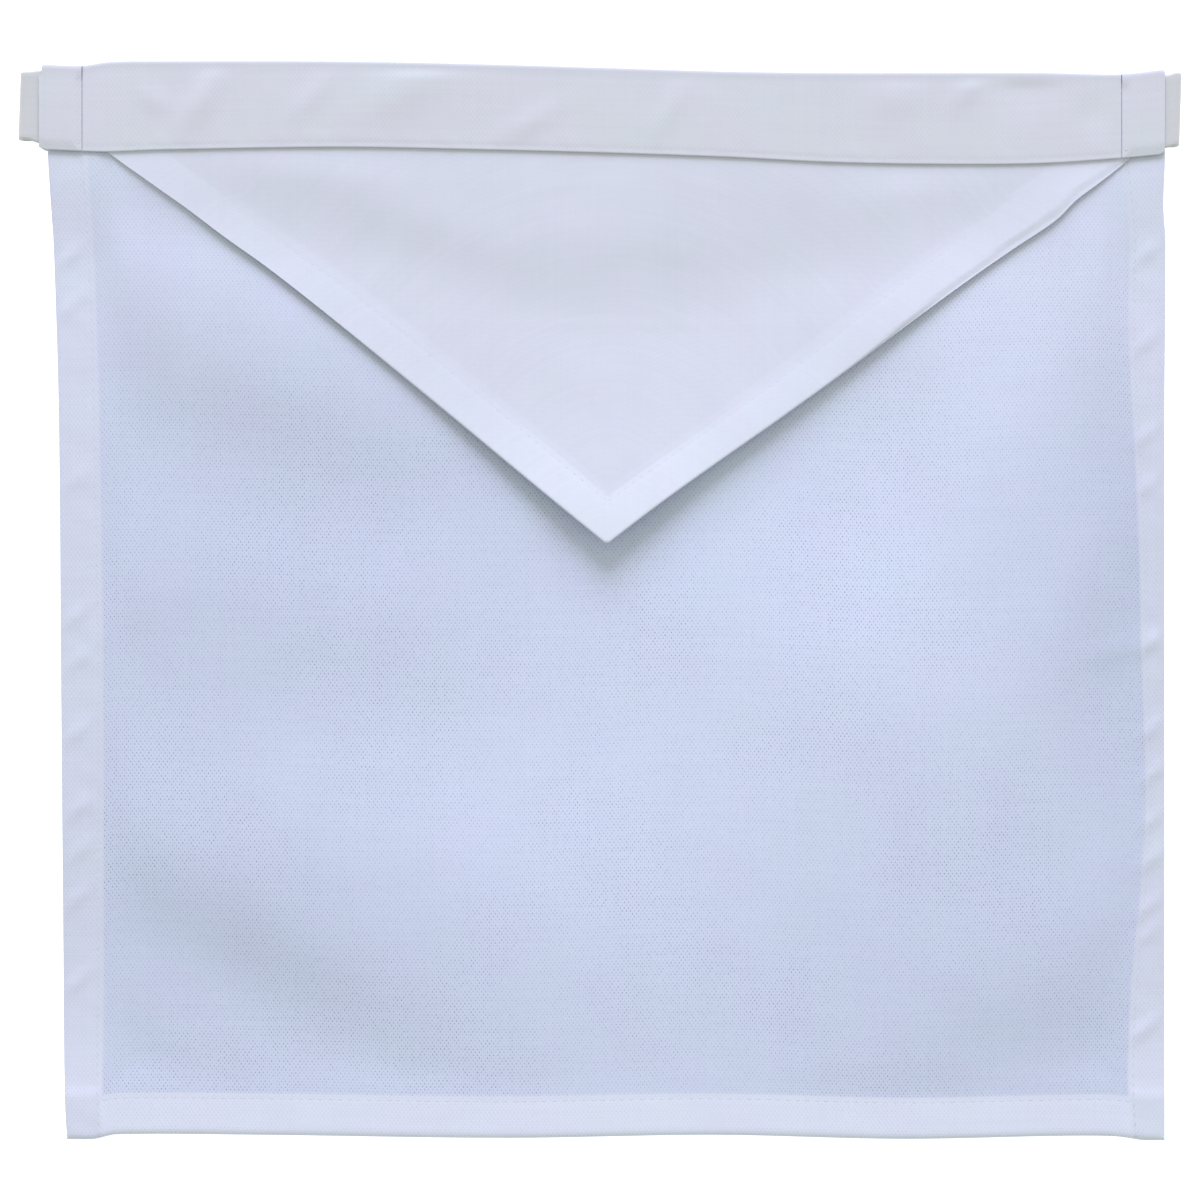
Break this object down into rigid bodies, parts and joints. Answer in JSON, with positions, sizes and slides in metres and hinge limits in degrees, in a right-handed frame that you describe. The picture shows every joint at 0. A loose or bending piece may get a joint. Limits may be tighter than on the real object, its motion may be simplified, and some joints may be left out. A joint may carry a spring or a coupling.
{
  "type": "masonic apron",
  "caption": "White canvas lodge apron lying flat: a near-square hemmed panel, a pointed flap, a folded waistband and an elastic belt folded behind it.",
  "frame": {"origin": "on the table, under the middle of the whole apron's outline", "axes": "+Z out of the apron's front, away from the table; +Y from the bottom hem to the waistband; +X to the right as the front is seen"},
  "size_m": [0.406, 0.3776, 0.0105],
  "materials": {
    "panel_canvas": "plain-woven white cotton duck, matt",
    "flap_canvas": "plain-woven white cotton duck, matt, weave turned a quarter",
    "band_canvas": "plain-woven white cotton duck, two layers pressed over a crease, matt",
    "elastic": "woven elastic webbing, off-white, slight sheen"
  },
  "bodies": {
    "root": {"apron_panel": "panel_canvas", "flap": "flap_canvas", "waistband": "band_canvas", "end_casing_left": "band_canvas", "end_casing_right": "band_canvas", "elastic_belt": "elastic"}
  },
  "joints": []
}
